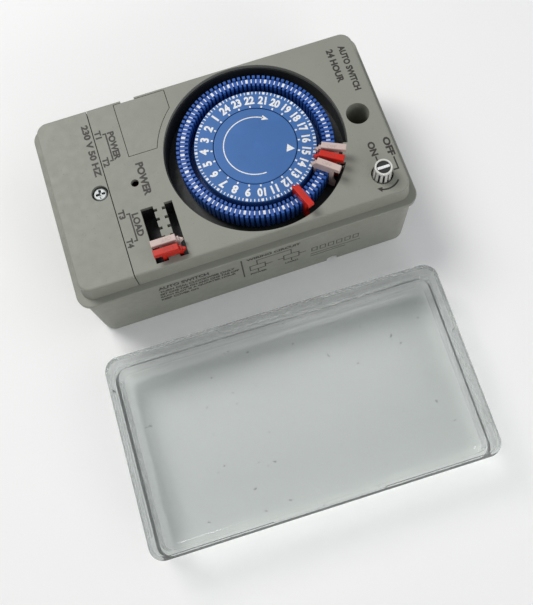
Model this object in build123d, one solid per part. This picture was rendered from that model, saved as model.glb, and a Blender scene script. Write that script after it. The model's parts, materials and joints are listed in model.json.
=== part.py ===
from build123d import *
import math
import os

# Programmable 24-hour timer. Millimetres.
# The origin is the centre of the flat back face. +Z points out of the front face, +X runs along the
# case towards its upper mounting hole, and +Y points to the battery side.

# ---- driving dimensions -------------------------------------------------------------------------
LENGTH = 120.0            # over the ledge that carries the clear cover
WIDTH = 70.0
CORNER = 5.0              # vertical corner radius at the ledge
LEDGE_Z = 32.0
FACE_Z = 39.0
LIP = 0.9                 # how far the ledge stands out past the walls under it
LIP_T = 1.4
LEDGE_EDGE = 0.4          # rounding of the ledge's upper edge
BASE_DRAFT = 0.3          # how much narrower each wall is at the back
BASE_WALL = 2.4
BACK = 2.5                # thickness of the back wall
RIM_OPENING = (112.4, 62.0)                # opening inside the ledge
RIM_Z = 29.5              # underside of the ledge flange

FACE_LENGTH = 114.4       # front plate, at its top
FACE_WIDTH = 64.0
FACE_DRAFT = 0.6          # how much wider each side is at the ledge
FACE_CORNER = 4.0
PLATE = 1.6               # thickness of the front plate
SKIRT = 1.6
EDGE = 0.7                # rounding of the front edges
SPLIT_X = -38.9           # parting line between the terminal cover and the front case
GAP = 0.15                # half of every visible parting gap

DIAL_X = 12.5
WELL_R = 31.35            # opening in the front plate around the dial
WELL_WALL_R = 30.9        # inside of the black cup behind it
WELL_OUTER_R = 31.5
WELL_FLOOR_Z = (28.0, 29.5)
WELL_CLEAR_R = 31.6       # pocket that the cup needs in the case
RING_R = 26.86            # setting ring
RING_INNER_R = 22.8
RING_TOP_Z = FACE_Z + 0.5
BAND_OUTER_R = 25.75      # plain band between the outer and the inner teeth
BAND_INNER_R = 23.95
BAND_MARGIN = 0.1         # the band's lowered top reaches this far past the feet of the teeth
BAND_TOP_Z = FACE_Z
RING_FOOT_Z = 32.0
RING_WEB_Z = (30.5, 32.0)  # the web that joins the ring to the hub
HUB_R = 4.5
SLOTS = 96                # one slot for every quarter of an hour
HOUR_PHASE = 94.2         # direction of the mark for 23 hours, degrees
DISC_R = 20.9             # number disc
CENTRE_R = 14.2           # fixed centre disc
DISC_TOP_Z = FACE_Z - 0.1
POST_R = 2.0

MOUNT_X = 49.4            # upper mounting hole
ACCESS_R = 4.03
MOUNT_R = 2.25
LOWER_MOUNT_X = -52.5

KNOB_X, KNOB_Y = 49.4, -24.1
KNOB_R = 3.3
KNOB_TOP_Z = FACE_Z + 5.2
KNOB_SHAFT_R = 1.5
TRIP_ANGLE = -24.0        # direction of the star wheel from the dial's centre, degrees
TRIP_DISTANCE = 35.55
TRIP_X = DIAL_X + TRIP_DISTANCE * math.cos(math.radians(TRIP_ANGLE))
TRIP_Y = TRIP_DISTANCE * math.sin(math.radians(TRIP_ANGLE))
TONGUE_R = 29.7           # lip of the front plate that hides the star wheel
TONGUE_FROM, TONGUE_TO = -30.9, -17.1

TAB_TOP_Z = FACE_Z + 5.5  # setting tabs
TAB_OUTER_R = 30.8
TAB_INNER_R = 22.4
TAB_WIDTH = 2.25
TAB_FOOT_R = 29.3
TAB_FOOT_Z = 31.2

WINDOW_Y0, WINDOW_Y1 = -30.2, -10.0        # storage windows and the rail between them
OUTER_WINDOW = (-30.9, -26.7)
INNER_WINDOW = (-22.8, -20.0)
RAIL_NOTCH_Y = -11.8
RAIL_NOTCH_PITCH = 3.37
RAIL_NOTCHES = 6

DOOR_X0, DOOR_X1 = -29.4, -11.0            # battery door
DOOR_Y0, DOOR_Y1 = 10.0, 31.1
DOOR_ARC_R = 33.3

COVER_LENGTH = 118.8      # clear cover, at its rim
COVER_WIDTH = 69.0
COVER_HEIGHT = 19.6
COVER_WALL = 1.3
COVER_FLOOR = 1.7
COVER_DRAFT = 0.7
COVER_SKIRT = 7.6         # height of the thin rim that fits round the front case
COVER_STEP = 1.3          # how much thicker the wall is below that rim
COVER_POCKET = (5.6, 0.6)  # height and depth of the pockets inside the rim
COVER_DISTANCE = 85.9     # from the timer's centre to the centre of the cover lying beside it
COVER_YAW = -1.4          # degrees; half of it is the slant of the line that the cover turns over

PLATE_Z = 20.0            # movement plate
PLATE_T = 1.5
GEAR_MODULE = 0.5
TRIP_MODULE = 0.7
DIAL_TEETH, IDLER_PINION_TEETH = 80, 20
IDLER_TEETH, MOTOR_TEETH = 60, 10
TRIP_TEETH = 15
BACKLASH = 0.1            # added to each pair's centre distance
IDLER_X = DIAL_X - GEAR_MODULE * (DIAL_TEETH + IDLER_PINION_TEETH) / 2 - BACKLASH
MOTOR_REACH = GEAR_MODULE * (IDLER_TEETH + MOTOR_TEETH) / 2 + BACKLASH
MOTOR_DIRECTION = -120.0
MOTOR_X = IDLER_X + MOTOR_REACH * math.cos(math.radians(MOTOR_DIRECTION))
MOTOR_Y = MOTOR_REACH * math.sin(math.radians(MOTOR_DIRECTION))
DIAL_GEAR_Z = (24.6, 27.0)
IDLER_GEAR_Z = (22.2, 24.0)
TRIP_GEAR_Z = (30.0, 31.8)
STAR_Z = (31.8, 35.0)
PIN_R = 1.0
RUNNING = 0.06            # radial running clearance of a bore on its pin

LEVER_X, LEVER_Y = 36.0, -19.6             # switch
SWITCH_Z = (12.0, 16.0)
CAM_LOW_R, CAM_HIGH_R = 3.0, 4.5
CAM_GAP = 0.3

CASE_SCREWS = [(53.2, 27.8), (53.3, -10.2), (-35.4, 27.8), (-35.4, -27.8)]
CASE_SCREW_R = 1.2
CASE_BOSS_R = 2.7
PARTITION_X = (-39.3, -38.2)               # wall between the terminals and the movement
PILLARS = [(-31.5, 9.0), (-10.0, 22.5), (31.0, 22.5), (27.5, -22.5)]
TERMINAL_X = -45.5
TERMINAL_YS = [22.0, 10.5, -9.5, -20.5]
COVER_SCREW = (-42.1, 0.2)

os.makedirs("parts", exist_ok=True)


# ---- helpers ------------------------------------------------------------------------------------
def save(node, shape):
    """Write one sub-part as parts/NODE.step."""
    export_step(shape, f"parts/{node}.step")


def block(x_range, y_range, z_range):
    """A box between two limits on each axis."""
    size = [high - low for low, high in (x_range, y_range, z_range)]
    middle = [(high + low) / 2 for low, high in (x_range, y_range, z_range)]
    return Pos(*middle) * Box(*size)


def rod(x, y, radius, z_range):
    """A cylinder along Z."""
    low, high = z_range
    return Pos(x, y, (low + high) / 2) * Cylinder(radius, high - low)


def tube(x, y, outer, inner, z_range):
    """A hollow cylinder along Z."""
    return rod(x, y, outer, z_range) - rod(x, y, inner, z_range)


def tapered(low_size, high_size, corner, z_range, centre=(0, 0)):
    """A rounded rectangular block whose size changes evenly from its foot to its top."""
    sections = []
    for (length, width), z in zip((low_size, high_size), z_range):
        sections.append(Pos(*centre, z) * RectangleRounded(length, width, corner))
    return loft(sections, ruled=True)


def prism(points, z_range):
    """A straight-sided solid on a closed outline of points."""
    face = make_face(Polyline(*points, close=True))
    return Pos(0, 0, z_range[0]) * extrude(face, amount=z_range[1] - z_range[0])


def polar(radius, degrees, x=0.0, y=0.0):
    """The point at a distance and direction from a centre."""
    angle = math.radians(degrees)
    return (x + radius * math.cos(angle), y + radius * math.sin(angle))


def sector(x, y, inner, outer, start, end, z_range):
    """Part of a ring between two directions, in degrees."""
    middle = (start + end) / 2
    with_arcs = [
        ThreePointArc(polar(outer, start, x, y), polar(outer, middle, x, y), polar(outer, end, x, y)),
        Line(polar(outer, end, x, y), polar(inner, end, x, y)),
        ThreePointArc(polar(inner, end, x, y), polar(inner, middle, x, y), polar(inner, start, x, y)),
        Line(polar(inner, start, x, y), polar(outer, start, x, y)),
    ]
    face = make_face(Curve() + with_arcs)
    return Pos(0, 0, z_range[0]) * extrude(face, amount=z_range[1] - z_range[0])


def gear(teeth, module, z_range, x, y, tooth_at):
    """A spur gear with one tooth pointing in the direction tooth_at, in degrees."""
    pitch_r = module * teeth / 2
    tip_r = pitch_r + 0.8 * module
    root_r = pitch_r - 1.15 * module
    step = 360.0 / teeth
    tip_half = math.degrees(0.22 * module / tip_r) * 1.6
    root_half = math.degrees(0.95 * module / root_r)
    points = []
    for number in range(teeth):
        middle = tooth_at + number * step
        points.append(polar(root_r, middle - root_half, x, y))
        points.append(polar(tip_r, middle - tip_half, x, y))
        points.append(polar(tip_r, middle + tip_half, x, y))
        points.append(polar(root_r, middle + root_half, x, y))
    return prism(points, z_range)


def screw(x, y, head_r, head_z, shank_r, end_z):
    """A pan-head screw with a cross recess. The head's seat is head_z[0] on the side of the shank."""
    seat, top = head_z
    up = 1 if top > seat else -1
    head = rod(x, y, head_r, (min(seat, top), max(seat, top)))
    head = fillet(head.edges().group_by(Axis.Z)[-1 if up > 0 else 0], 0.45 * abs(top - seat))
    shank = rod(x, y, shank_r, (min(end_z, seat), max(end_z, seat)))
    arm = 0.62 * head_r
    slot = 0.16 * head_r
    depth = (min(top, top - up), max(top, top - up))
    cross = block((x - arm, x + arm), (y - slot, y + slot), depth)
    cross += block((x - slot, x + slot), (y - arm, y + arm), depth)
    return head + shank - cross


def strip(points, thickness, z_range):
    """A flat metal strip standing on edge along a line of points."""
    face = trace(Polyline(*points), line_width=thickness)
    return Pos(0, 0, z_range[0]) * extrude(face, amount=z_range[1] - z_range[0])


# ---- case ---------------------------------------------------------------------------------------
def base_case():
    """The deep lower shell with its ledge, bosses and cable entry."""
    foot = (LENGTH - 2 * (LIP + BASE_DRAFT), WIDTH - 2 * (LIP + BASE_DRAFT))
    under_lip = (LENGTH - 2 * LIP, WIDTH - 2 * LIP)
    shell = tapered(foot, under_lip, CORNER, (0, LEDGE_Z - LIP_T))
    ledge = tapered((LENGTH, WIDTH), (LENGTH, WIDTH), CORNER, (LEDGE_Z - LIP_T, LEDGE_Z))
    shell += fillet(ledge.edges().group_by(Axis.Z)[-1], LEDGE_EDGE)
    shell -= rounded_end_waste()
    wide = (foot[0] - 2 * BASE_WALL, foot[1] - 2 * BASE_WALL)
    wider = (wide[0] + 2 * BASE_DRAFT, wide[1] + 2 * BASE_DRAFT)
    shell -= tapered(wide, wider, CORNER - 1.5, (BACK, RIM_Z))
    shell -= tapered(RIM_OPENING, RIM_OPENING, CORNER - 2, (RIM_Z, LEDGE_Z))
    shell -= rod(DIAL_X, 0, WELL_CLEAR_R, (WELL_FLOOR_Z[0] - 0.2, LEDGE_Z + 1))
    under_plate = FACE_Z - PLATE
    shell += block(PARTITION_X, (-30.4, 30.4), (BACK, under_plate))
    shell += rod(MOUNT_X, 0, ACCESS_R + 1.1, (BACK, under_plate))
    shell -= rod(MOUNT_X, 0, ACCESS_R, (BACK, FACE_Z))
    shell -= rod(MOUNT_X, 0, MOUNT_R, (0, BACK))
    shell -= rod(LOWER_MOUNT_X, 0, MOUNT_R, (0, BACK))
    shell += tube(*COVER_SCREW, 3.0, 1.56, (BACK, 34.9))
    shell += tube(KNOB_X, KNOB_Y, 3.0, KNOB_SHAFT_R + RUNNING, (BACK, 8))
    for x, y in CASE_SCREWS:
        shell += rod(x, y, 3.6, (BACK, 8))
        shell -= rod(x, y, 2.8, (0, 3.5))
        shell -= rod(x, y, CASE_SCREW_R + 0.2, (3.5, 8))
    for x, y in [(-4, -26), (40, 26)]:
        shell += rod(x, y, 2.0, (BACK, 6))
    shell -= block((-LENGTH / 2 - 1, -54), (-12, 12), (8, 18))
    return shell - back_edge_notch()


def rounded_end_waste():
    """What the rounding along the back of the cable end takes away."""
    radius = 4.0
    end = -LENGTH / 2 + LIP + BASE_DRAFT
    waste = block((end - 3, end + radius), (-WIDTH, WIDTH), (-1, radius))
    return waste - Pos(end + radius, 0, radius) * Rot(90, 0, 0) * Cylinder(radius, 2 * WIDTH)


def back_edge_notch():
    """The small round-topped recess in the back edge of the long wall below the knob."""
    x, half, centre_z = 29.2, 2.1, 0.9
    y_range = (-WIDTH, 1.3 - WIDTH / 2 + LIP + BASE_DRAFT)
    recess = block((x - half, x + half), y_range, (-1, centre_z))
    along = y_range[1] - y_range[0]
    return recess + Pos(x, sum(y_range) / 2, centre_z) * Rot(90, 0, 0) * Cylinder(half, along)


def front_shell():
    """The whole front moulding, before the terminal cover is parted from it."""
    ledge_size = (FACE_LENGTH + 2 * FACE_DRAFT, FACE_WIDTH + 2 * FACE_DRAFT)
    shell = tapered(ledge_size, (FACE_LENGTH, FACE_WIDTH), FACE_CORNER, (LEDGE_Z, FACE_Z))
    shell = fillet(shell.edges().group_by(Axis.Z)[-1], EDGE)
    inside = (ledge_size[0] - 2 * SKIRT, ledge_size[1] - 2 * SKIRT)
    return shell - tapered(inside, inside, FACE_CORNER - SKIRT, (LEDGE_Z, FACE_Z - PLATE))


def dial_opening():
    """What the round opening takes out of the front, with the lip over the star wheel left in."""
    plate_z = (FACE_Z - PLATE, FACE_Z)
    opening = rod(DIAL_X, 0, WELL_R, plate_z)
    opening -= sector(DIAL_X, 0, TONGUE_R, WELL_R + 1, TONGUE_FROM, TONGUE_TO, plate_z)
    return opening + rod(DIAL_X, 0, WELL_CLEAR_R, (LEDGE_Z - 1, FACE_Z - PLATE))


def front_case():
    """The front plate and skirt with all the openings of the face."""
    case = front_shell()
    case &= block((SPLIT_X + GAP, LENGTH), (-WIDTH, WIDTH), (LEDGE_Z, FACE_Z))
    case -= dial_opening()
    plate_z = (FACE_Z - PLATE, FACE_Z)
    case -= Pos(0, 0, plate_z[0]) * extrude(door_outline(), amount=PLATE)
    case -= block((-26.7, -21.8), (DOOR_Y1, WIDTH), (FACE_Z - 2.6, FACE_Z))
    case -= rod(-30.0, 0, 1.35, plate_z)
    case -= rod(KNOB_X, KNOB_Y, KNOB_R + 0.45, plate_z)
    case -= rod(MOUNT_X, 0, ACCESS_R, plate_z)
    for window in (OUTER_WINDOW, INNER_WINDOW):
        case -= block(window, (WINDOW_Y0, WINDOW_Y1), plate_z)
    for number in range(RAIL_NOTCHES):
        y = RAIL_NOTCH_Y - number * RAIL_NOTCH_PITCH
        case -= block((OUTER_WINDOW[1], OUTER_WINDOW[1] + 1.1), (y - 0.5, y + 0.5), plate_z)
        case -= block((INNER_WINDOW[0] - 1.1, INNER_WINDOW[0]), (y - 0.5, y + 0.5), plate_z)
    for x, y in CASE_SCREWS:
        case += rod(x, y, CASE_BOSS_R, (8, FACE_Z - PLATE))
        case -= rod(x, y, CASE_SCREW_R, (8, 20))
    return case


def terminal_cover():
    """The end of the front that lifts off over the terminals."""
    cover = front_shell()
    limit = SPLIT_X - GAP
    cover &= block((-LENGTH, limit), (-WIDTH, WIDTH), (LEDGE_Z, FACE_Z))
    boss = rod(*COVER_SCREW, 4.2, (34.9, FACE_Z - PLATE))
    cover += boss & block((-LENGTH, PARTITION_X[0] - 0.1), (-WIDTH, WIDTH), (0, FACE_Z))
    cover -= rod(*COVER_SCREW, 2.85, (36.4, FACE_Z))
    return cover - rod(*COVER_SCREW, 1.8, (34, FACE_Z))


def door_outline():
    """The battery door's outline: a rectangle with one corner cut round the dial."""
    across = math.sqrt(DOOR_ARC_R**2 - (DIAL_X - DOOR_X1) ** 2)
    along = DIAL_X - math.sqrt(DOOR_ARC_R**2 - DOOR_Y0**2)
    start, end = (DOOR_X1, across), (along, DOOR_Y0)
    turn = (math.degrees(math.atan2(start[1], start[0] - DIAL_X))
            + math.degrees(math.atan2(end[1], end[0] - DIAL_X))) / 2
    edges = [
        Line((DOOR_X0, DOOR_Y1), (DOOR_X1, DOOR_Y1)),
        Line((DOOR_X1, DOOR_Y1), start),
        ThreePointArc(start, polar(DOOR_ARC_R, turn, DIAL_X, 0), end),
        Line(end, (DOOR_X0, DOOR_Y0)),
        Line((DOOR_X0, DOOR_Y0), (DOOR_X0, DOOR_Y1)),
    ]
    return make_face(Curve() + edges)


def battery_door():
    """The flush door over the backup battery, with a rib that centres it in the holder."""
    plate = offset(door_outline(), amount=-GAP - 0.05)
    door = Pos(0, 0, FACE_Z - PLATE) * extrude(plate, amount=PLATE)
    return door + block((-27.6, -19.2), (11.8, 29.4), (FACE_Z - PLATE - 0.8, FACE_Z - PLATE))


def clear_cover():
    """The clear cover, lying open side up beside the timer."""
    rim = (COVER_LENGTH, COVER_WIDTH)
    base = (rim[0] - 2 * COVER_DRAFT, rim[1] - 2 * COVER_DRAFT)
    cover = tapered(base, rim, CORNER, (0, COVER_HEIGHT))
    cover = fillet(cover.edges().group_by(Axis.Z)[0], 2.2)
    inner_rim = (rim[0] - 2 * COVER_WALL, rim[1] - 2 * COVER_WALL)
    step_z = COVER_HEIGHT - COVER_SKIRT
    cover -= tapered(inner_rim, inner_rim, CORNER - COVER_WALL, (step_z, COVER_HEIGHT))
    inner_step = (inner_rim[0] - 2 * COVER_STEP, inner_rim[1] - 2 * COVER_STEP)
    inner_base = (inner_step[0] - 2 * COVER_DRAFT, inner_step[1] - 2 * COVER_DRAFT)
    inside = tapered(inner_base, inner_step, CORNER - 1.5, (COVER_FLOOR, step_z))
    cover -= fillet(inside.edges().group_by(Axis.Z)[0], 2.6)
    cover -= cover_pockets(inner_rim)
    slant = math.radians(COVER_YAW / 2)
    centre = (COVER_DISTANCE * math.sin(slant), -COVER_DISTANCE * math.cos(slant))
    return Pos(*centre, 0) * Rot(0, 0, COVER_YAW) * cover


def cover_pockets(inner_rim):
    """What the shallow round-cornered pockets take out of the inside of the cover's rim."""
    height, depth = COVER_POCKET
    z_range = (COVER_HEIGHT - height, COVER_HEIGHT + 4)
    half_x, half_y = inner_rim[0] / 2 + depth, inner_rim[1] / 2 + depth
    across = block((-19, 19), (-half_y, half_y), z_range)
    pockets = fillet(across.edges().filter_by(Axis.Y).group_by(Axis.Z)[0], 1.6)
    for x_range, y_range in (((0, half_x), (-24, 10)), ((-half_x, 0), (-26, 24))):
        along = block(x_range, y_range, z_range)
        pockets += fillet(along.edges().filter_by(Axis.X).group_by(Axis.Z)[0], 1.6)
    return pockets & block((-LENGTH, LENGTH), (-WIDTH, WIDTH), (0, COVER_HEIGHT + 1))


# ---- fixed pieces behind the face ---------------------------------------------------------------
def dial_well():
    """The black cup that the dial turns in, open where the star wheel reaches through its wall."""
    floor, top = WELL_FLOOR_Z
    cup = rod(DIAL_X, 0, WELL_OUTER_R, (floor, FACE_Z - PLATE))
    cup -= rod(DIAL_X, 0, WELL_WALL_R, (top, FACE_Z))
    cup -= rod(DIAL_X, 0, 5.5, (floor, top))
    return cup - sector(DIAL_X, 0, 29.0, 33.0, TRIP_ANGLE - 13, TRIP_ANGLE + 13, (top, 36))


def storage_tray():
    """The black pocket behind the two storage windows."""
    x_range, y_range = (OUTER_WINDOW[0], INNER_WINDOW[1]), (WINDOW_Y0, WINDOW_Y1)
    wall = 0.6
    around = [(low - wall, high + wall) for low, high in (x_range, y_range)]
    return block(*around, (28.5, FACE_Z - PLATE)) - block(x_range, y_range, (29.5, FACE_Z))


BATTERY_X, BATTERY_Z, BATTERY_R = -23.4, 31.0, 4.3
BATTERY_Y = (12.4, 28.8)


def battery_holder():
    """The black pocket under the battery door."""
    holder = block((-28.8, -18.0), (10.6, 30.7), (25.2, FACE_Z - PLATE))
    return holder - block((-28.1, -18.7), (11.3, 29.9), (26.2, FACE_Z))


def backup_battery():
    """A small sealed cell that keeps the quartz movement going through a power cut."""
    middle = sum(BATTERY_Y) / 2
    length = BATTERY_Y[1] - BATTERY_Y[0]
    cell = Pos(BATTERY_X, middle, BATTERY_Z) * Rot(90, 0, 0) * Cylinder(BATTERY_R, length)
    nub = Pos(BATTERY_X, BATTERY_Y[1] + 0.3, BATTERY_Z) * Rot(90, 0, 0) * Cylinder(1.4, 0.6)
    return cell + nub


def battery_contacts():
    """The sprung plates at the two ends of the cell."""
    contacts = Part()
    for y_range in ((11.3, 11.7), (29.5, 29.9)):
        contacts += block((-26.9, -19.9), y_range, (26.2, 35.5))
    contacts += block((-24.4, -22.4), (11.7, 12.4), (30.0, 32.0))
    return contacts


def movement_plate():
    """The plate that carries the gears and the motor, on four pillars."""
    top = PLATE_Z + PLATE_T
    plate = block((-31.8, 43.0), (-26.0, 26.0), (PLATE_Z, top))
    plate += block((-34.0, -31.0), (2.0, 16.0), (PLATE_Z, top))
    plate += block((40.0, 48.2), (-19.3, -10.2), (PLATE_Z, top))
    plate -= rod(MOTOR_X, MOTOR_Y, 1.3, (PLATE_Z, top))
    for x, y in PILLARS:
        plate += rod(x, y, 2.2, (BACK, PLATE_Z))
    return plate


def dial_post():
    """The fixed post that the dial turns on, with a foot that carries the dial's hub."""
    return rod(DIAL_X, 0, POST_R, (PLATE_Z + PLATE_T, 37.4)) + rod(DIAL_X, 0, 3.6, (PLATE_Z + PLATE_T, 22.9))


def centre_disc():
    """The fixed disc in the middle of the dial that carries the pointer."""
    disc = rod(DIAL_X, 0, CENTRE_R, (37.4, FACE_Z))
    return fillet(disc.edges().group_by(Axis.Z)[-1], 0.3)


def idler_pin():
    """The steel pin of the double gear."""
    pin = rod(IDLER_X, 0, PIN_R, (PLATE_Z + PLATE_T, 27.4))
    return pin + rod(IDLER_X, 0, 2.2, (PLATE_Z + PLATE_T, 22.1))


def star_pin():
    """The steel pin of the star wheel, with a collar under its gear."""
    low = PLATE_Z + PLATE_T
    return rod(TRIP_X, TRIP_Y, PIN_R, (low, 35.6)) + rod(TRIP_X, TRIP_Y, 2.2, (low, 29.9))


def lever_pin():
    """The steel pin of the switch lever, standing on the back wall."""
    return rod(LEVER_X, LEVER_Y, PIN_R, (BACK, 17.5)) + rod(LEVER_X, LEVER_Y, 2.2, (BACK, 11.9))


def motor_can():
    """The sealed quartz stepping motor, hanging under the movement plate."""
    can = rod(MOTOR_X, MOTOR_Y, 11.0, (8.5, PLATE_Z))
    can = fillet(can.edges().group_by(Axis.Z)[0], 1.0)
    return can - rod(MOTOR_X, MOTOR_Y, 0.8, (17.0, PLATE_Z))


def circuit_board():
    """The power and timing board, standing on two posts above the back wall."""
    board = block((-7.0, 43.0), (-29.0, 29.0), (6.0, 7.6))
    for x, y in PILLARS:
        board -= rod(x, y, 2.6, (6.0, 7.6))
    return board - rod(LEVER_X, LEVER_Y, 2.6, (6.0, 7.6))


def controller_chip():
    """The timing chip with its two rows of legs."""
    chip = block((18.0, 32.0), (-3.2, 3.2), (8.4, 11.6))
    for number in range(7):
        x = 19.0 + 2.0 * number
        for y in (-3.6, 3.6):
            chip += block((x - 0.25, x + 0.25), (y - 0.4, y + 0.4), (7.6, 9.6))
    return chip


def power_led():
    """The power lamp behind its hole in the face, with two leads to the movement plate."""
    lamp = rod(-30.0, 0, 1.5, (31.0, 34.6)) + Pos(-30.0, 0, 34.6) * Sphere(1.5)
    lamp += rod(-30.0, 0, 1.9, (30.2, 31.0))
    for x in (-30.7, -29.3):
        lamp += rod(x, 0, 0.25, (PLATE_Z + PLATE_T, 30.2))
    return lamp


# ---- terminals and switch -----------------------------------------------------------------------
BUSBAR_END_Y = TERMINAL_YS[3] - 3.4        # where the load strip meets its clamping plate


def terminal_block():
    """Two insulating blocks with a barrier on each side of every terminal."""
    blocks = Part()
    for pair in (TERMINAL_YS[:2], TERMINAL_YS[2:]):
        low, high = min(pair) - 5.0, max(pair) + 5.0
        insulator = block((-50.5, -40.5), (low, high), (BACK, 14.0))
        for y in (low + 0.6, sum(pair) / 2, high - 0.6):
            insulator += block((-50.5, -40.5), (y - 0.6, y + 0.6), (14.0, 19.0))
        for y in pair:
            insulator -= rod(TERMINAL_X, y, 1.7, (6.0, 14.0))
        blocks += insulator
    return blocks - block((TERMINAL_X - 0.7, TERMINAL_X + 0.7), (-26, BUSBAR_END_Y), (11.2, 20))


def terminal_plates():
    """Four brass clamping plates."""
    plates = Part()
    for y in TERMINAL_YS:
        plate = block((TERMINAL_X - 4, TERMINAL_X + 4), (y - 3.4, y + 3.4), (14.0, 15.0))
        plates += plate - rod(TERMINAL_X, y, 1.7, (14.0, 15.0))
    return plates


def terminal_screws():
    """Four plated terminal screws."""
    screws = Part()
    for y in TERMINAL_YS:
        screws += screw(TERMINAL_X, y, 2.9, (15.0, 17.2), 1.6, 8.0)
    return screws


def case_screws():
    """Four long screws, driven in from the back."""
    screws = Part()
    for x, y in CASE_SCREWS:
        screws += screw(x, y, 2.4, (3.5, 1.6), CASE_SCREW_R, 18.0)
    return screws


def switch_cam():
    """A cam with two lobes whose radius grows evenly with the angle."""
    points = []
    steps = 24
    for number in range(4 * steps):
        quarter, part = divmod(number, steps)
        share = part / steps
        if quarter % 2 == 0:
            share = 1 - share
        radius = CAM_LOW_R + (CAM_HIGH_R - CAM_LOW_R) * share
        points.append(polar(radius, 90.0 * number / steps, KNOB_X, KNOB_Y))
    return prism(points, SWITCH_Z) - rod(KNOB_X, KNOB_Y, KNOB_SHAFT_R, SWITCH_Z)


FOLLOWER_R = 0.9
FOLLOWER_Y = KNOB_Y + CAM_LOW_R + CAM_GAP + FOLLOWER_R
ARM_Y = (FOLLOWER_Y - 0.1, FOLLOWER_Y + 1.5)
CONTACT_X = (52.0, 54.6)
CONTACT_LIFT = (53.3 - LEVER_X) * (CAM_HIGH_R - CAM_LOW_R) / (KNOB_X - LEVER_X)
FIXED_CONTACT_Y = ARM_Y[1] + 1.0 + CONTACT_LIFT + 0.2


def switch_lever():
    """The lever that the cam pushes towards the fixed contact."""
    lever = rod(LEVER_X, LEVER_Y, 2.4, SWITCH_Z)
    lever += block((LEVER_X, 55.0), ARM_Y, SWITCH_Z)
    lever += rod(KNOB_X, FOLLOWER_Y, FOLLOWER_R, SWITCH_Z)
    return lever - rod(LEVER_X, LEVER_Y, PIN_R + RUNNING, SWITCH_Z)


def moving_contact():
    """The silver pad on the end of the lever."""
    return block(CONTACT_X, (ARM_Y[1], ARM_Y[1] + 1.0), (12.8, 15.2))


def fixed_contact():
    """The silver pad that the lever's pad meets."""
    return block(CONTACT_X, (FIXED_CONTACT_Y, FIXED_CONTACT_Y + 0.8), (12.8, 15.2))


def load_busbar():
    """The brass strip from the fixed contact, round the case, to the load terminal."""
    y = FIXED_CONTACT_Y + 0.8 + 0.3
    route = [(50.6, y), (56.0, y), (56.0, -27.6), (52.6, -31.05)]
    route += [(TERMINAL_X, -31.05), (TERMINAL_X, BUSBAR_END_Y)]
    return strip(route, 0.6, (11.5, 16.5))


# ---- turning pieces -----------------------------------------------------------------------------
def dial_ring():
    """The setting ring: a band with teeth on both sides, which leave one slot per quarter hour."""
    step = 360.0 / SLOTS
    outline, inline = [], []
    for number in range(SLOTS):
        tooth = HOUR_PHASE + (number + 0.5) * step
        outer_half = math.degrees(0.5 / RING_R)
        inner_half = math.degrees(0.4 / RING_INNER_R)
        for radius, side in ((BAND_OUTER_R, -1), (RING_R, -1), (RING_R, 1), (BAND_OUTER_R, 1)):
            outline.append(polar(radius, tooth + side * outer_half, DIAL_X, 0))
        for radius, side in ((BAND_INNER_R, -1), (RING_INNER_R, -1), (RING_INNER_R, 1), (BAND_INNER_R, 1)):
            inline.append(polar(radius, tooth + side * inner_half, DIAL_X, 0))
    z_range = (RING_FOOT_Z, RING_TOP_Z)
    ring = prism(outline, z_range) - prism(inline, z_range)
    edge_r = BAND_OUTER_R + BAND_MARGIN
    ring -= tube(DIAL_X, 0, edge_r, BAND_INNER_R - BAND_MARGIN, (BAND_TOP_Z, RING_TOP_Z))
    return ring + tube(DIAL_X, 0, edge_r, HUB_R, RING_WEB_Z)


def dial_disc():
    """The number disc with the hub that turns on the post."""
    disc = rod(DIAL_X, 0, DISC_R, (35.2, DISC_TOP_Z))
    disc = fillet(disc.edges().group_by(Axis.Z)[-1], 0.25)
    disc -= rod(DIAL_X, 0, CENTRE_R + 0.25, (37.2, FACE_Z))
    disc += rod(DIAL_X, 0, HUB_R, (23.0, 35.2))
    return disc - rod(DIAL_X, 0, POST_R + RUNNING, (23.0, 38.0))


def dial_gear():
    """The large gear on the dial's hub."""
    wheel = gear(DIAL_TEETH, GEAR_MODULE, DIAL_GEAR_Z, DIAL_X, 0, 180.0)
    return wheel - rod(DIAL_X, 0, HUB_R, DIAL_GEAR_Z)


def idler_gear():
    """The double gear between the motor and the dial."""
    wheel = gear(IDLER_TEETH, GEAR_MODULE, IDLER_GEAR_Z, IDLER_X, 0, MOTOR_DIRECTION)
    half_step = 180.0 / IDLER_PINION_TEETH
    pinion_z = (IDLER_GEAR_Z[1], DIAL_GEAR_Z[1])
    wheel += gear(IDLER_PINION_TEETH, GEAR_MODULE, pinion_z, IDLER_X, 0, half_step)
    return wheel - rod(IDLER_X, 0, PIN_R + RUNNING, (IDLER_GEAR_Z[0], DIAL_GEAR_Z[1]))


def motor_pinion():
    """The motor's small gear."""
    z_range = (IDLER_GEAR_Z[0] - 0.3, IDLER_GEAR_Z[1] + 0.2)
    half_step = 180.0 / MOTOR_TEETH
    wheel = gear(MOTOR_TEETH, GEAR_MODULE, z_range, MOTOR_X, MOTOR_Y, MOTOR_DIRECTION + 180 + half_step)
    return wheel - rod(MOTOR_X, MOTOR_Y, 0.75, z_range)


def motor_shaft():
    """The motor's shaft."""
    return rod(MOTOR_X, MOTOR_Y, 0.75, (17.2, IDLER_GEAR_Z[1] + 0.2))


KNOB_DIRECTION = math.degrees(math.atan2(KNOB_Y - TRIP_Y, KNOB_X - TRIP_X))


def star_wheel():
    """The four-pointed wheel that the setting tabs turn a quarter turn at a time."""
    points = []
    for number in range(8):
        radius = 5.9 if number % 2 == 0 else 3.2
        points.append(polar(radius, TRIP_ANGLE + 45 + 45 * number, TRIP_X, TRIP_Y))
    return prism(points, STAR_Z) - rod(TRIP_X, TRIP_Y, PIN_R + RUNNING, STAR_Z)


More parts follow.
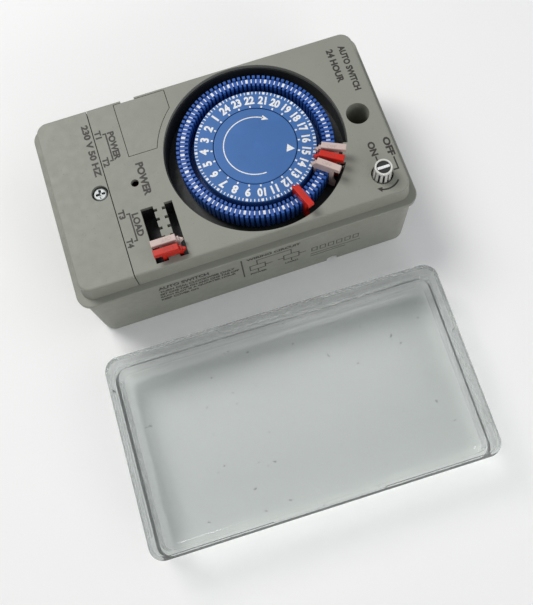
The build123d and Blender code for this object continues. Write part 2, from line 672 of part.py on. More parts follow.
def star_gear():
    """The gear under the star wheel."""
    wheel = gear(TRIP_TEETH, TRIP_MODULE, TRIP_GEAR_Z, TRIP_X, TRIP_Y, KNOB_DIRECTION)
    return wheel - rod(TRIP_X, TRIP_Y, PIN_R + RUNNING, TRIP_GEAR_Z)


def knob_gear():
    """The gear on the knob's shaft, in mesh with the star wheel's gear."""
    half_step = 180.0 / TRIP_TEETH
    wheel = gear(TRIP_TEETH, TRIP_MODULE, TRIP_GEAR_Z, KNOB_X, KNOB_Y, KNOB_DIRECTION + 180 + half_step)
    return wheel - rod(KNOB_X, KNOB_Y, KNOB_SHAFT_R, TRIP_GEAR_Z)


def knob_shaft():
    """The shaft from the knob down to its socket in the back wall."""
    return rod(KNOB_X, KNOB_Y, KNOB_SHAFT_R, (3.0, 42.0))


KNOB_CORE_R = 2.35
KNOB_TOP_R = 2.95
KNOB_FOOT_Z = 36.8
KNOB_CUP_Z = KNOB_TOP_Z - 0.5              # top of the black core, inside the ribbed sleeve
KNOB_SLOTS = 12


def manual_knob():
    """The ribbed sleeve of the knob, slotted so that its black core shows between the ribs."""
    height = KNOB_TOP_Z - KNOB_FOOT_Z
    sleeve = Pos(KNOB_X, KNOB_Y, KNOB_FOOT_Z + height / 2) * Cone(KNOB_R, KNOB_TOP_R, height)
    sleeve = fillet(sleeve.edges().group_by(Axis.Z)[-1], 0.2)
    sleeve -= rod(KNOB_X, KNOB_Y, KNOB_CORE_R, (KNOB_FOOT_Z, KNOB_TOP_Z))
    slot = block((KNOB_CORE_R - 0.5, KNOB_R + 1), (-0.36, 0.36), (KNOB_FOOT_Z, KNOB_TOP_Z - 0.9))
    for number in range(KNOB_SLOTS):
        turn = Rot(0, 0, (number + 0.5) * 360 / KNOB_SLOTS)
        sleeve -= Pos(KNOB_X, KNOB_Y, 0) * turn * slot
    return sleeve + tube(KNOB_X, KNOB_Y, KNOB_R, KNOB_CORE_R, (KNOB_FOOT_Z, KNOB_FOOT_Z + 0.6))


def knob_insert():
    """The black core of the knob."""
    core = rod(KNOB_X, KNOB_Y, KNOB_CORE_R, (KNOB_FOOT_Z, KNOB_CUP_Z))
    return core - rod(KNOB_X, KNOB_Y, KNOB_SHAFT_R, (KNOB_FOOT_Z, 42.0))


def knob_indicator():
    """The white bar that shows which way the knob points."""
    half_length, half_width = 2.1, 0.45
    x_range = (KNOB_X - half_length, KNOB_X + half_length)
    y_range = (KNOB_Y - half_width, KNOB_Y + half_width)
    return block(x_range, y_range, (KNOB_CUP_Z, KNOB_TOP_Z - 0.1))


# ---- setting tabs -------------------------------------------------------------------------------
def setting_tab():
    """A tab in the dial's own frame, standing in the slot that points along +X."""
    bar_z = (TAB_TOP_Z - 1.8, TAB_TOP_Z)
    half = TAB_WIDTH / 2
    bar = block((TAB_INNER_R, TAB_OUTER_R), (-half, half), bar_z)
    bar = fillet(bar.edges().group_by(Axis.Z)[-1], 0.25)
    over_ring = RING_TOP_Z + 0.2
    tab = bar + block((21.55, 28.4), (-0.75, 0.75), (over_ring, bar_z[0]))
    tab += block((23.2, 26.4), (-0.25, 0.25), (BAND_TOP_Z + 0.15, over_ring))
    tab += block((27.15, 28.4), (-0.75, 0.75), (TAB_FOOT_Z, over_ring))
    tab += block((26.1, 27.15), (-0.25, 0.25), (33.5, over_ring))
    tab += block((21.55, 22.5), (-0.6, 0.6), (35.8, over_ring))
    tab += block((22.5, 23.6), (-0.22, 0.22), (36.2, over_ring))
    tab += prism([(21.6, -0.85), (21.6, 0.85), (20.2, 0)], (40.0, 41.6))
    foot = make_face(Polyline((28.4, 0, 34.2), (TAB_FOOT_R, 0, 32.8), (TAB_FOOT_R, 0, TAB_FOOT_Z),
                              (28.4, 0, TAB_FOOT_Z), close=True))
    return tab + extrude(foot, amount=0.75, both=True)


DIAL_TABS = {"off_tab_1": 32, "on_tab_1": 34, "off_tab_2": 36, "on_tab_2": 44}
SPARE_TABS = {"spare_off_tab": 4, "spare_on_tab": 5}


def dial_tab(slots_on):
    """A tab in the slot that lies so many slots clockwise of the mark for 23 hours."""
    return Pos(DIAL_X, 0, 0) * Rot(0, 0, HOUR_PHASE - slots_on * 360 / SLOTS) * setting_tab()


def spare_tab(notch):
    """A tab parked on the storage rail, over one of its pairs of notches."""
    rail_middle = (OUTER_WINDOW[1] + INNER_WINDOW[0]) / 2
    ring_middle = (RING_R + RING_INNER_R) / 2
    y = RAIL_NOTCH_Y - notch * RAIL_NOTCH_PITCH
    return Pos(rail_middle + ring_middle, y, 0) * Rot(0, 0, 180) * setting_tab()


# ---- all the sub-parts --------------------------------------------------------------------------
PIECES = {
    "base_case": base_case,
    "front_case": front_case,
    "terminal_cover": terminal_cover,
    "terminal_cover_screw": lambda: screw(*COVER_SCREW, 2.6, (36.4, 38.3), 1.5, 24.0),
    "battery_door": battery_door,
    "clear_cover": clear_cover,
    "dial_well": dial_well,
    "storage_tray": storage_tray,
    "battery_holder": battery_holder,
    "backup_battery": backup_battery,
    "battery_contacts": battery_contacts,
    "movement_plate": movement_plate,
    "dial_post": dial_post,
    "centre_disc": centre_disc,
    "idler_pin": idler_pin,
    "star_pin": star_pin,
    "lever_pin": lever_pin,
    "motor_can": motor_can,
    "circuit_board": circuit_board,
    "controller_chip": controller_chip,
    "dropper_capacitor": lambda: block((2.0, 20.0), (9.0, 16.0), (7.6, 18.5)),
    "smoothing_capacitor": lambda: rod(5.0, -13.0, 4.0, (7.6, 18.5)),
    "quartz_crystal": lambda: rod(15.0, -12.0, 1.5, (7.6, 15.5)),
    "power_led": power_led,
    "terminal_block": terminal_block,
    "terminal_plates": terminal_plates,
    "terminal_screws": terminal_screws,
    "case_screws": case_screws,
    "switch_cam": switch_cam,
    "switch_lever": switch_lever,
    "moving_contact": moving_contact,
    "fixed_contact": fixed_contact,
    "load_busbar": load_busbar,
    "dial_ring": dial_ring,
    "dial_disc": dial_disc,
    "dial_gear": dial_gear,
    "idler_gear": idler_gear,
    "motor_pinion": motor_pinion,
    "motor_shaft": motor_shaft,
    "star_wheel": star_wheel,
    "star_gear": star_gear,
    "knob_gear": knob_gear,
    "knob_shaft": knob_shaft,
    "manual_knob": manual_knob,
    "knob_insert": knob_insert,
    "knob_indicator": knob_indicator,
}

for node, make in PIECES.items():
    save(node, make())
for node, slots_on in DIAL_TABS.items():
    save(node, dial_tab(slots_on))
for node, notch in SPARE_TABS.items():
    save(node, spare_tab(notch))
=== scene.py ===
import bpy
import json
import math
from mathutils import Matrix, Vector


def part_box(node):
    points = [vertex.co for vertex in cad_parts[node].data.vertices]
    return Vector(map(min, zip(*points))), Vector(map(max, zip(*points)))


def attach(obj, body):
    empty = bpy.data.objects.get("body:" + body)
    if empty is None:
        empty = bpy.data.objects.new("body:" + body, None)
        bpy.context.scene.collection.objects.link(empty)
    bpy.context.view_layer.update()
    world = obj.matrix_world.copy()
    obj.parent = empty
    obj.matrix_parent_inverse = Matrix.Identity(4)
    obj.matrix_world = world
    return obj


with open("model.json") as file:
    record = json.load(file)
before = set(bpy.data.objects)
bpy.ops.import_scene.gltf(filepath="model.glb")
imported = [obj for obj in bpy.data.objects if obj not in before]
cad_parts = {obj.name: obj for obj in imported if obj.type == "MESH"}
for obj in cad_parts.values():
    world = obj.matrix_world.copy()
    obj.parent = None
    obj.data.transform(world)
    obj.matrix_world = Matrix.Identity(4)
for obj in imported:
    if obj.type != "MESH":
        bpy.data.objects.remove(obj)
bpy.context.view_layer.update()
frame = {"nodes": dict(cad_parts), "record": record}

MM = 0.001
CAD = frame["nodes"]


# ---- places, worked out from the frame ----------------------------------------------------------
def centre(node):
    """The middle of a CAD node's box."""
    low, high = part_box(node)
    return (low + high) / 2


FACE_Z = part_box("front_case")[1].z
DISC_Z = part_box("dial_disc")[1].z
CENTRE_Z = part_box("centre_disc")[1].z
BAND_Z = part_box("dial_ring")[1].z - 0.5 * MM      # the printed band lies below the tooth tops
DIAL = centre("dial_ring")
KNOB = centre("manual_knob")
HOUR_23 = 94.2              # direction of the mark for 23 hours, degrees
HOUR_STEP = 15.0
PRINT = 0.035 * MM          # thickness of a print
SUNK = 0.01 * MM            # how far a print is let into its surface


# ---- materials ----------------------------------------------------------------------------------
def new_material(name):
    """A material with an empty node tree, its output and its Principled shader."""
    material = bpy.data.materials.new(name)
    material.use_nodes = True
    tree = material.node_tree
    tree.nodes.clear()
    output = tree.nodes.new("ShaderNodeOutputMaterial")
    shader = tree.nodes.new("ShaderNodeBsdfPrincipled")
    tree.links.new(shader.outputs["BSDF"], output.inputs["Surface"])
    return material, tree, shader


def noise(tree, scale, detail=3.0, stretch=None):
    """Noise in the object's own coordinates, with scale in features per metre."""
    place = tree.nodes.new("ShaderNodeTexCoord")
    texture = tree.nodes.new("ShaderNodeTexNoise")
    texture.inputs["Scale"].default_value = scale
    texture.inputs["Detail"].default_value = detail
    source = place.outputs["Object"]
    if stretch:
        mapping = tree.nodes.new("ShaderNodeMapping")
        mapping.inputs["Scale"].default_value = stretch
        tree.links.new(source, mapping.inputs["Vector"])
        source = mapping.outputs["Vector"]
    tree.links.new(source, texture.inputs["Vector"])
    return texture.outputs["Fac"]


def between(tree, factor, low, high, start=0.35, end=0.65):
    """A colour that goes from low to high as the factor goes from start to end."""
    ramp = tree.nodes.new("ShaderNodeValToRGB")
    ramp.color_ramp.elements[0].position = start
    ramp.color_ramp.elements[1].position = end
    ramp.color_ramp.elements[0].color = (*low, 1)
    ramp.color_ramp.elements[1].color = (*high, 1)
    tree.links.new(factor, ramp.inputs["Fac"])
    return ramp.outputs["Color"]


def ranged(tree, factor, low, high):
    """A number that goes from low to high with the factor's middle stretch."""
    spread = tree.nodes.new("ShaderNodeMapRange")
    spread.inputs["From Min"].default_value = 0.3
    spread.inputs["From Max"].default_value = 0.7
    spread.inputs["To Min"].default_value = low
    spread.inputs["To Max"].default_value = high
    tree.links.new(factor, spread.inputs["Value"])
    return spread.outputs["Result"]


def relief(tree, shader, height, strength, distance, corner=0.0):
    """A bump on the shader, over softly rounded corners where corner is given."""
    bump = tree.nodes.new("ShaderNodeBump")
    bump.inputs["Strength"].default_value = strength
    bump.inputs["Distance"].default_value = distance
    tree.links.new(height, bump.inputs["Height"])
    if corner:
        rounding = tree.nodes.new("ShaderNodeBevel")
        rounding.samples = 4
        rounding.inputs["Radius"].default_value = corner
        tree.links.new(rounding.outputs["Normal"], bump.inputs["Normal"])
    tree.links.new(bump.outputs["Normal"], shader.inputs["Normal"])


def scaled(colour, amount):
    """A colour made lighter or darker."""
    return tuple(min(1.0, channel * amount) for channel in colour)


def moulded(name, colour, rough=(0.4, 0.5), grain=2600, depth=0.03, blotch=0.05, specks=0.0, corner=0.15):
    """Moulded plastic: fine grain, slow colour drift and, where asked, dust specks."""
    material, tree, shader = new_material(name)
    drift = between(tree, noise(tree, 90), scaled(colour, 1 - blotch), scaled(colour, 1 + blotch))
    if specks:
        dust = between(tree, noise(tree, 1500, 1.0), (0, 0, 0), (1, 1, 1), 0.70, 0.76)
        mix = tree.nodes.new("ShaderNodeMix")
        mix.data_type = "RGBA"
        tree.links.new(dust, mix.inputs["Factor"])
        tree.links.new(drift, mix.inputs["A"])
        mix.inputs["B"].default_value = (*scaled(colour, 1 - specks), 1)
        drift = mix.outputs["Result"]
    tree.links.new(drift, shader.inputs["Base Color"])
    tree.links.new(ranged(tree, noise(tree, 400), *rough), shader.inputs["Roughness"])
    shader.inputs["Specular IOR Level"].default_value = 0.35
    relief(tree, shader, noise(tree, grain), depth, 0.1 * MM, corner * MM)
    return material


def metal(name, colour, rough=(0.22, 0.38)):
    """Plated or drawn metal with fine lines and a slightly uneven polish."""
    material, tree, shader = new_material(name)
    shader.inputs["Metallic"].default_value = 1.0
    drift = between(tree, noise(tree, 500), scaled(colour, 0.9), colour)
    tree.links.new(drift, shader.inputs["Base Color"])
    lines = noise(tree, 1500, 4.0, (1, 6, 1))
    tree.links.new(ranged(tree, lines, *rough), shader.inputs["Roughness"])
    relief(tree, shader, lines, 0.06, 0.05 * MM, 0.08 * MM)
    return material


HAZE = 0.10                 # the share of milky plastic in the clear cover


def clear(name, tint, rough, ior):
    """Clear moulded plastic. Lamps shine through it, and dust and faint haze show on it."""
    material, tree, shader = new_material(name)
    dust = between(tree, noise(tree, 420, 1.5), tint, scaled(tint, 0.55), 0.73, 0.77)
    tree.links.new(dust, shader.inputs["Base Color"])
    shader.inputs["Transmission Weight"].default_value = 1 - HAZE
    shader.inputs["IOR"].default_value = ior
    haze = noise(tree, 160, 6.0)
    tree.links.new(ranged(tree, haze, *rough), shader.inputs["Roughness"])
    relief(tree, shader, noise(tree, 25, 1.0), 0.02, 0.10 * MM)
    through = tree.nodes.new("ShaderNodeBsdfTransparent")
    through.inputs["Color"].default_value = (*scaled(tint, 0.97), 1)
    rays = tree.nodes.new("ShaderNodeLightPath")
    mix = tree.nodes.new("ShaderNodeMixShader")
    output = next(node for node in tree.nodes if node.type == "OUTPUT_MATERIAL")
    tree.links.new(rays.outputs["Is Shadow Ray"], mix.inputs["Fac"])
    tree.links.new(shader.outputs["BSDF"], mix.inputs[1])
    tree.links.new(through.outputs["BSDF"], mix.inputs[2])
    tree.links.new(mix.outputs["Shader"], output.inputs["Surface"])
    return material


def ink(name, colour):
    """Pad-printed ink, a little uneven. It also colours the letters moulded into the tabs a shade darker than
    their tab, as painted shade for their relief.
    """
    material, tree, shader = new_material(name)
    cover = between(tree, noise(tree, 2500, 2.0), scaled(colour, 0.82), scaled(colour, 1.08))
    tree.links.new(cover, shader.inputs["Base Color"])
    tree.links.new(ranged(tree, noise(tree, 900), 0.5, 0.65), shader.inputs["Roughness"])
    relief(tree, shader, noise(tree, 3500), 0.05, 0.02 * MM)
    return material


GREY = (0.252, 0.260, 0.222)
RING_BLUE = (0.028, 0.100, 0.37)
DISC_BLUE = (0.043, 0.138, 0.375)
CLEAR_TINT = (0.67, 0.69, 0.685)
TAB_WHITE = (0.56, 0.44, 0.405)
WELL_BLACK = (0.031, 0.034, 0.033)
KNOB_WHITE = (0.66, 0.66, 0.62)
GEAR_WHITE = (0.66, 0.62, 0.50)
ZINC = (0.30, 0.32, 0.32)
CAPACITOR_BROWN = (0.35, 0.12, 0.03)

MATERIALS = {
    "case_grey": moulded("case_grey", GREY, (0.45, 0.58), grain=2300, depth=0.06, blotch=0.02, specks=0.12),
    "clear_plastic": clear("clear_plastic", CLEAR_TINT, (0.004, 0.02), 1.32),
    "dial_blue": moulded("dial_blue", RING_BLUE, (0.32, 0.45), grain=3000, blotch=0.10, corner=0.12),
    "disc_blue": moulded("disc_blue", DISC_BLUE, (0.40, 0.52), blotch=0.06, specks=0.10),
    "tab_red": moulded("tab_red", (0.52, 0.017, 0.007), (0.34, 0.45), grain=2400, blotch=0.08),
    "tab_white": moulded("tab_white", TAB_WHITE, (0.34, 0.45), grain=2400, blotch=0.04),
    "black_plastic": moulded("black_plastic", WELL_BLACK, (0.38, 0.50), grain=2200, depth=0.05, blotch=0.15),
    "knob_white": moulded("knob_white", KNOB_WHITE, (0.18, 0.26), grain=2000, depth=0.02),
    "print_white": ink("print_white", (0.82, 0.83, 0.82)),
    "print_black": ink("print_black", (0.034, 0.029, 0.025)),
    "gear_plastic": moulded("gear_plastic", GEAR_WHITE, (0.35, 0.45), grain=1800),
    "zinc_steel": metal("zinc_steel", ZINC, (0.40, 0.56)),
    "brass": metal("brass", (0.70, 0.50, 0.20)),
    "silver": metal("silver", (0.80, 0.80, 0.77)),
    "board": moulded("board", (0.22, 0.15, 0.05), grain=1200, depth=0.05, blotch=0.10),
    "capacitor_case": moulded(
        "capacitor_case", CAPACITOR_BROWN, (0.15, 0.25), grain=900, depth=0.05, blotch=0.08),
    "sleeve": moulded("sleeve", (0.03, 0.04, 0.10), (0.18, 0.28), grain=900, depth=0.04, blotch=0.10),
    "lamp_red": moulded("lamp_red", (0.16, 0.012, 0.010), (0.08, 0.14), grain=1200, depth=0.01),
}

PAINTED_SHADE_LETTER_MATERIALS = {  # the letters moulded into the tabs, coloured darker than their tab as painted shade of the relief
    "tab_red": ink("tab_red_letters_painted_shade", (0.42, 0.016, 0.008)),
    "tab_white": ink("tab_white_letters_painted_shade", (0.50, 0.39, 0.36)),
}
SLOTS = {row["node"]: row["material_slot"] for row in frame["record"]["subparts"]}
BODIES = {}
for body, members in frame["record"]["behaviour"]["bodies"].items():
    for node in members:
        BODIES[node] = body

for node, slot in SLOTS.items():
    mesh = CAD[node].data
    mesh.materials.clear()
    mesh.materials.append(MATERIALS[slot])


# ---- small solid prints and trims ---------------------------------------------------------------
def add_piece(name, mesh, body, slot, material=None):
    """A mesh as a piece that rides on a body."""
    mesh.name = name
    mesh.materials.clear()
    mesh.materials.append(material or MATERIALS[slot])
    piece = bpy.data.objects.new(name, mesh)
    bpy.context.scene.collection.objects.link(piece)
    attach(piece, body)


def solid_print(name, vertices, faces, body, slot):
    """A print given by its vertices and faces."""
    mesh = bpy.data.meshes.new(name)
    mesh.from_pydata([tuple(v) for v in vertices], [], faces)
    mesh.validate()
    add_piece(name, mesh, body, slot)


def thick(outlines, z_low, z_high):
    """Closed straight-sided solids on flat outlines, as vertices and faces."""
    vertices, faces = [], []
    for outline in outlines:
        first, count = len(vertices), len(outline)
        vertices += [Vector((x, y, z_low)) for x, y in outline]
        vertices += [Vector((x, y, z_high)) for x, y in outline]
        faces.append([first + n for n in reversed(range(count))])
        faces.append([first + count + n for n in range(count)])
        for n in range(count):
            after = (n + 1) % count
            faces.append([first + n, first + after, first + count + after, first + count + n])
    return vertices, faces


def print_flat(name, outlines, z, body, slot):
    """A thin print of flat outlines in metres, standing on height z."""
    vertices, faces = thick(outlines, z - SUNK, z + PRINT)
    solid_print(name, vertices, faces, body, slot)


def bar(x_range, y_range):
    """A rectangle's outline, in millimetres."""
    (x0, x1), (y0, y1) = x_range, y_range
    return [(x0 * MM, y0 * MM), (x1 * MM, y0 * MM), (x1 * MM, y1 * MM), (x0 * MM, y1 * MM)]


def around(middle, radius, degrees):
    """The point at a distance in millimetres and a direction from a centre."""
    angle = math.radians(degrees)
    return (middle.x + radius * MM * math.cos(angle), middle.y + radius * MM * math.sin(angle))


def tick(middle, inner, outer, width, degrees):
    """A radial mark's outline."""
    half_in = math.degrees(width / 2 / inner)
    half_out = math.degrees(width / 2 / outer)
    return [
        around(middle, inner, degrees - half_in),
        around(middle, outer, degrees - half_out),
        around(middle, outer, degrees + half_out),
        around(middle, inner, degrees + half_in),
    ]


def arc_strips(middle, radius, width, start, end, steps):
    """An arc as a row of short outlines."""
    strips = []
    step = (end - start) / steps
    for number in range(steps):
        low, high = start + number * step, start + (number + 1) * step
        low, high = min(low, high), max(low, high)
        inner, outer = radius - width / 2, radius + width / 2
        strips.append([
            around(middle, inner, low), around(middle, outer, low),
            around(middle, outer, high), around(middle, inner, high),
        ])
    return strips


def arrow_head(middle, radius, degrees, length, half_width):
    """A pointed head at the clockwise end of an arc."""
    return [
        around(middle, radius, degrees - math.degrees(length / radius)),
        around(middle, radius + half_width, degrees),
        around(middle, radius - half_width, degrees),
    ]


BOLD = 0.044                # how far the letters' outlines are moved out, as a share of their size


def lettering(text):
    """A word's mesh in bold letters, 1 high and as long as it comes, and that length."""
    curve = bpy.data.curves.new("letters", "FONT")
    curve.body = text
    curve.offset = BOLD
    curve.resolution_u = 3
    holder = bpy.data.objects.new("letters", curve)
    bpy.context.scene.collection.objects.link(holder)
    curve.extrude = 0.5
    bpy.context.view_layer.update()
    mesh = bpy.data.meshes.new_from_object(holder.evaluated_get(bpy.context.evaluated_depsgraph_get()))
    bpy.data.objects.remove(holder)
    low_x, high_x = min(v.co.x for v in mesh.vertices), max(v.co.x for v in mesh.vertices)
    low_y, high_y = min(v.co.y for v in mesh.vertices), max(v.co.y for v in mesh.vertices)
    height = high_y - low_y
    place = Matrix.Diagonal((1 / height, 1 / height, 1, 1)) @ Matrix.Translation((-low_x, -low_y, 0))
    mesh.transform(place)
    return mesh, (high_x - low_x) / height


def print_word(name, text, corner, length, height, facing, body, slot, material=None):
    """A printed word, from its lower left corner and a matrix for its reading direction and surface."""
    mesh, natural = lettering(text)
    mesh.transform(Matrix.Diagonal((length / natural, height, PRINT + SUNK, 1)))
    mesh.transform(Matrix.Translation((0, 0, (PRINT - SUNK) / 2)))
    mesh.transform(Matrix.Translation(corner) @ facing)
    add_piece(name, mesh, body, slot, material)


# ---- prints on the face: words read towards -Y, with their tops towards +X ----------------------
ON_FACE = Matrix.Rotation(math.radians(-90), 4, "Z")

WORDS = [  # name, word, x of its foot and top, y of its start and end, body
    ("word_auto_switch", "AUTO SWITCH", (51.6, 54.0), (27.2, 8.6), "housing"),
    ("word_24_hour", "24 HOUR", (47.1, 49.6), (27.0, 13.4), "housing"),
    ("word_on", "ON", (48.3, 50.8), (-11.6, -17.0), "housing"),
    ("word_off", "OFF", (53.8, 56.3), (-11.5, -18.7), "housing"),
    ("word_power_lamp", "POWER", (-28.1, -25.4), (6.9, -5.7), "housing"),
    ("word_power", "POWER", (-34.2, -31.8), (21.4, 10.4), "housing"),
    ("word_load", "LOAD", (-34.2, -31.8), (-10.6, -19.1), "housing"),
    ("word_supply_1", "T1", (-38.3, -36.1), (23.1, 20.0), "housing"),
    ("word_supply_2", "T2", (-38.3, -36.1), (12.4, 8.9), "housing"),
    ("word_load_2", "T3", (-38.3, -36.1), (-8.0, -11.4), "housing"),
    ("word_load_1", "T4", (-38.3, -36.1), (-18.8, -22.1), "housing"),
    ("word_supply", "230 V 50 HZ", (-42.1, -39.7), (26.6, 6.2), "terminal_lid"),
]
for name, text, (foot, top), (start, end), body in WORDS:
    corner = (foot * MM, start * MM, FACE_Z)
    print_word(name, text, corner, (start - end) * MM, (top - foot) * MM, ON_FACE, body, "print_black")

LINE = 0.5                  # width of a printed line, mm
BRACKET_X = -34.95          # a bracket's long line, which joins two terminals' short ones
BRACKET_FOOT_X = -35.75
BRACKETS = []
for y_low, y_high in ((10.4, 21.4), (-20.4, -9.9)):
    BRACKETS.append(bar((BRACKET_X, BRACKET_X + LINE), (y_low, y_high)))
    for y in (y_low, y_high - LINE):
        BRACKETS.append(bar((BRACKET_FOOT_X, BRACKET_X), (y, y + LINE)))
print_flat("terminal_brackets", BRACKETS, FACE_Z, "housing", "print_black")

KNOB_ARROW_R = 5.7
KNOB_MARKS = [              # the stroke to ON, the two strokes to OFF, then the arrow
    bar((49.3, 49.3 + LINE), (-19.3, -17.3)),
    bar((55.0, 55.0 + LINE), (-24.1, -19.3)),
    bar((53.5, 55.0), (-24.1, -24.1 + LINE)),
]
KNOB_MARKS += arc_strips(KNOB, KNOB_ARROW_R, 0.55, -40, -112, 18)
KNOB_MARKS.append(arrow_head(KNOB, KNOB_ARROW_R, -110, 1.7, 0.9))
print_flat("knob_marks", KNOB_MARKS, FACE_Z, "housing", "print_black")


# ---- the dial's prints --------------------------------------------------------------------------
def hour_direction(hour):
    """The direction of an hour's mark, in degrees."""
    return HOUR_23 + HOUR_STEP * (hour - 23)


QUARTER_STEP = HOUR_STEP / 4
HOUR_TICK = 0.85            # widths of the marks, mm
QUARTER_TICK = 0.34
DISC_TICK_R = (19.75, 20.7)
BAND_TICK_R = (24.15, 25.55)
INNER_TICK_R = (14.6, 15.3)

DISC_TICKS, INNER_TICKS, BAND_TICKS = [], [], []
for quarter in range(96):
    direction = HOUR_23 + QUARTER_STEP * quarter
    on_hour = quarter % 4 == 0
    width = HOUR_TICK if on_hour else QUARTER_TICK
    DISC_TICKS.append(tick(DIAL, *DISC_TICK_R, width, direction))
    BAND_TICKS.append(tick(DIAL, *BAND_TICK_R, width, direction))
    if on_hour:
        INNER_TICKS.append(tick(DIAL, *INNER_TICK_R, 0.55, direction))
print_flat("dial_outer_marks", DISC_TICKS, DISC_Z, "dial", "print_white")
print_flat("dial_inner_marks", INNER_TICKS, DISC_Z, "dial", "print_white")
print_flat("ring_marks", BAND_TICKS, BAND_Z, "dial", "print_white")

NUMBER_HEIGHT = 3.1
NUMBER_R = 17.45
ONE_DIGIT_WIDTH = 0.95      # share of the letters' natural width
TWO_DIGIT_WIDTH = 0.86
for hour in range(1, 25):
    mesh, natural = lettering(str(hour))
    width = natural * NUMBER_HEIGHT * (TWO_DIGIT_WIDTH if hour > 9 else ONE_DIGIT_WIDTH) * MM
    height = NUMBER_HEIGHT * MM
    mesh.transform(Matrix.Diagonal((width / natural, height, PRINT + SUNK, 1)))
    mesh.transform(Matrix.Translation((-width / 2, -height / 2 + NUMBER_R * MM, (PRINT - SUNK) / 2)))
    turn = Matrix.Rotation(math.radians(hour_direction(hour) - 90), 4, "Z")
    mesh.transform(Matrix.Translation((DIAL.x, DIAL.y, DISC_Z)) @ turn)
    add_piece(f"hour_{hour:02d}", mesh, "dial", "print_white")

ARROW_R = 10.8
ARROW = arc_strips(DIAL, ARROW_R, 0.36, 273, 58, 80)
ARROW.append(arrow_head(DIAL, ARROW_R, 60, 2.3, 0.95))
print_flat("centre_arrow", ARROW, CENTRE_Z, "housing", "print_white")

POINTER_AT = -24.0          # directions in degrees
POINTER_HALF = 7.8
POINTER_TIP_R = 13.5
POINTER_FOOT_R = 10.9
POINTER = [
    around(DIAL, POINTER_TIP_R, POINTER_AT),
    around(DIAL, POINTER_FOOT_R, POINTER_AT + POINTER_HALF),
    around(DIAL, POINTER_FOOT_R, POINTER_AT - POINTER_HALF),
]
print_flat("centre_pointer", [POINTER], CENTRE_Z, "housing", "print_white")


# ---- the print on the long side wall ------------------------------------------------------------
WALL_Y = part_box("base_case")[0].y + 0.9 * MM      # the near wall just under the ledge's lip
WALL_TOP_Z = FACE_Z - 8.4 * MM                    # where the wall meets the lip
WALL_DRAFT = 0.3 * MM                             # how much the wall leans in towards the floor
ON_WALL = Matrix.Rotation(math.radians(90) + math.atan2(WALL_DRAFT, WALL_TOP_Z), 4, "X")


def wall_point(x, depth):
    """A place on the near wall, by its x and its depth below the face, in millimetres."""
    z = FACE_Z - depth * MM
    return Vector((x * MM, WALL_Y + WALL_DRAFT * (1 - z / WALL_TOP_Z), z))


def wall_print(name, rectangles):
    """Bars on the near wall, each given by its x and depth ranges."""
    outlines = []
    for (x0, x1), (top, foot) in rectangles:
        outlines.append(bar((x0, x1), (-foot, -top)))
    vertices, faces = thick(outlines, -SUNK, PRINT)
    placed = []
    for v in vertices:
        spot = wall_point(v.x / MM, -v.y / MM)
        out = ON_WALL.to_3x3() @ Vector((0, 0, v.z))
        placed.append(spot + out)
    solid_print(name, placed, faces, "housing", "print_black")


WALL_WORDS = [  # name, word, left x, depth of its foot, length, height
    ("wall_heading", "AUTO SWITCH", -34.0, 14.0, 18.0, 2.6),
    ("wall_line_1", "TURN DIAL CLOCKWISE ONLY", -34.0, 17.0, 27.0, 1.8),
    ("wall_line_2", "SET ONE TAB ON AND ONE TAB OFF", -34.3, 19.6, 28.6, 1.8),
    ("wall_line_3", "EACH SLOT IS A QUARTER HOUR", -34.5, 22.2, 27.5, 1.8),
    ("wall_line_4", "KEEP COVER ON", -34.7, 24.8, 13.5, 1.8),
    ("wall_diagram_heading", "WIRING CIRCUIT", -2.6, 13.3, 19.5, 1.9),
    ("wall_power", "POWER", -2.0, 27.9, 6.2, 1.5),
    ("wall_load", "LOAD", 11.0, 27.9, 5.0, 1.5),
]
for name, text, x, depth, length, height in WALL_WORDS:
    print_word(name, text, wall_point(x, depth), length * MM, height * MM, ON_WALL, "housing", "print_black")


def frame_bars(x0, x1, top, foot, line=0.4):
    """The four sides of a drawn box."""
    return [
        ((x0, x1), (top, top + line)), ((x0, x1), (foot - line, foot)),
        ((x0, x0 + line), (top, foot)), ((x1 - line, x1), (top, foot)),
    ]


# two boxes, then the divider on their left and the wires above, between and below them
DIAGRAM = frame_bars(-2.0, 4.0, 19.0, 23.6) + frame_bars(10.5, 16.5, 19.0, 23.6)
DIAGRAM += [((-4.6, -4.1), (11.0, 28.0)), ((0.8, 1.2), (15.2, 19.0)), ((13.3, 13.7), (15.2, 19.0))]
DIAGRAM += [((0.8, 13.7), (14.8, 15.2)), ((4.0, 6.4), (21.1, 21.5)), ((8.4, 10.5), (21.1, 21.5))]
DIAGRAM += [((0.8, 1.2), (23.6, 26.0)), ((13.3, 13.7), (23.6, 26.0)), ((16.5, 19.0), (21.1, 21.5))]
wall_print("wall_diagram", DIAGRAM)

PANEL = []                  # a row of empty boxes over two lines
for number in range(6):
    x = 21.0 + 3.1 * number
    PANEL += frame_bars(x, x + 2.3, 20.4, 23.8, 0.35)
PANEL += [((20.6, 39.6), (26.0, 26.4)), ((20.6, 34.0), (28.0, 28.4))]
wall_print("wall_panel", PANEL)


# ---- words moulded into the tabs, their relief shown by painted shade ---------------------------
TAB_WORD_LENGTH = 3.4 * MM
TAB_WORD_HEIGHT = 1.25 * MM
TAB_WORD_LOWERED = 0.025 * MM       # keeps the letters' tops almost level with the tab's


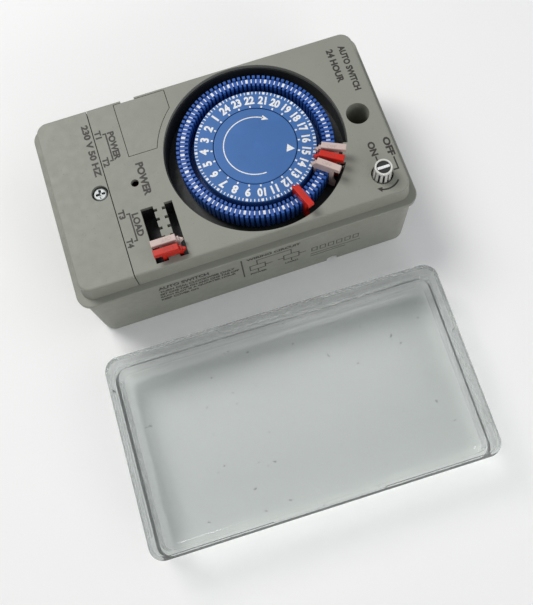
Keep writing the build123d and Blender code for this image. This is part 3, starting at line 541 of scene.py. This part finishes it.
def tab_word(node):
    """The small word on top of a tab's bar, read along the bar."""
    if node.startswith("spare"):
        along = Vector((-1, 0, 0))
    else:
        out = centre(node) - DIAL
        along = Vector((out.x, out.y, 0)).normalized()
    across = Vector((-along.y, along.x, 0))
    facing = Matrix((along, across, (0, 0, 1))).transposed().to_4x4()
    length, height = TAB_WORD_LENGTH, TAB_WORD_HEIGHT
    middle = centre(node)
    middle.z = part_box(node)[1].z - TAB_WORD_LOWERED
    corner = middle - along * (length / 2) - across * (height / 2)
    word = "OFF" if "off" in node else "ON"
    slot = SLOTS[node]
    # the letters take a darker material than the tab, painted shade in place of the shadow their relief would
    # cast
    print_word(f"{node}_word", word, corner, length, height, facing, BODIES[node], slot, PAINTED_SHADE_LETTER_MATERIALS[slot])


for node in CAD:
    if node.endswith(("tab", "tab_1", "tab_2")):
        tab_word(node)


# ---- floor, light and camera --------------------------------------------------------------------
def stage_material(name, colour):
    """A pale matt surface with a very faint unevenness."""
    material, tree, shader = new_material(name)
    tone = between(tree, noise(tree, 3), scaled(colour, 0.985), colour)
    tree.links.new(tone, shader.inputs["Base Color"])
    shader.inputs["Roughness"].default_value = 0.8
    return material


FLOOR_REACH = 2.5
FLOOR_CORNERS = [(x * FLOOR_REACH, y * FLOOR_REACH, 0) for x, y in ((-1, -1), (1, -1), (1, 1), (-1, 1))]
floor_mesh = bpy.data.meshes.new("floor")
floor_mesh.from_pydata(FLOOR_CORNERS, [], [(0, 1, 2, 3)])
floor = bpy.data.objects.new("floor", floor_mesh)
floor_mesh.materials.append(stage_material("floor", (0.90, 0.90, 0.895)))
bpy.context.scene.collection.objects.link(floor)
floor.location.z = -0.02 * MM


MIDDLE = (0, -0.04, 0.02)


def area_light(name, place, size, power, colour):
    """A square soft light aimed at the middle of the part."""
    data = bpy.data.lights.new(name, "AREA")
    data.size = size
    data.energy = power
    data.color = colour
    light = bpy.data.objects.new(name, data)
    light.location = place
    light.rotation_euler = (Vector(MIDDLE) - Vector(place)).to_track_quat("-Z", "Y").to_euler()
    bpy.context.scene.collection.objects.link(light)


area_light("key", (-0.32, 0.42, 0.72), 0.40, 5.3, (1.0, 0.985, 0.96))
area_light("fill", (0.65, -0.25, 0.70), 0.7, 1.2, (0.95, 0.97, 1.0))
area_light("front", (0.25, -0.75, 0.30), 0.5, 2.1, (1.0, 0.975, 0.95))

world = bpy.data.worlds.new("studio")
bpy.context.scene.world = world
world.use_nodes = True
sky = world.node_tree.nodes["Background"]
sky.inputs["Color"].default_value = (0.93, 0.95, 1.0, 1)
sky.inputs["Strength"].default_value = 0.36

lens = bpy.data.cameras.new("camera")
camera = bpy.data.objects.new("camera", lens)
bpy.context.scene.collection.objects.link(camera)
CAMERA_TURN = Vector((2.818, -0.466, 0.035))        # axis times angle, radians
CAMERA_PLACE = (-12.37, -129.90, 282.04)
right, down, forward = Matrix.Rotation(CAMERA_TURN.length, 3, CAMERA_TURN)
camera.matrix_world = Matrix((
    (right.x, -down.x, -forward.x, CAMERA_PLACE[0] * MM),
    (right.y, -down.y, -forward.y, CAMERA_PLACE[1] * MM),
    (right.z, -down.z, -forward.z, CAMERA_PLACE[2] * MM),
    (0, 0, 0, 1)))
lens.sensor_width = 36
lens.lens = 47.43
lens.shift_x = -0.0421
lens.shift_y = 0.0193
lens.clip_start = 0.01
bpy.context.scene.camera = camera

bpy.context.scene.view_settings.view_transform = "Standard"
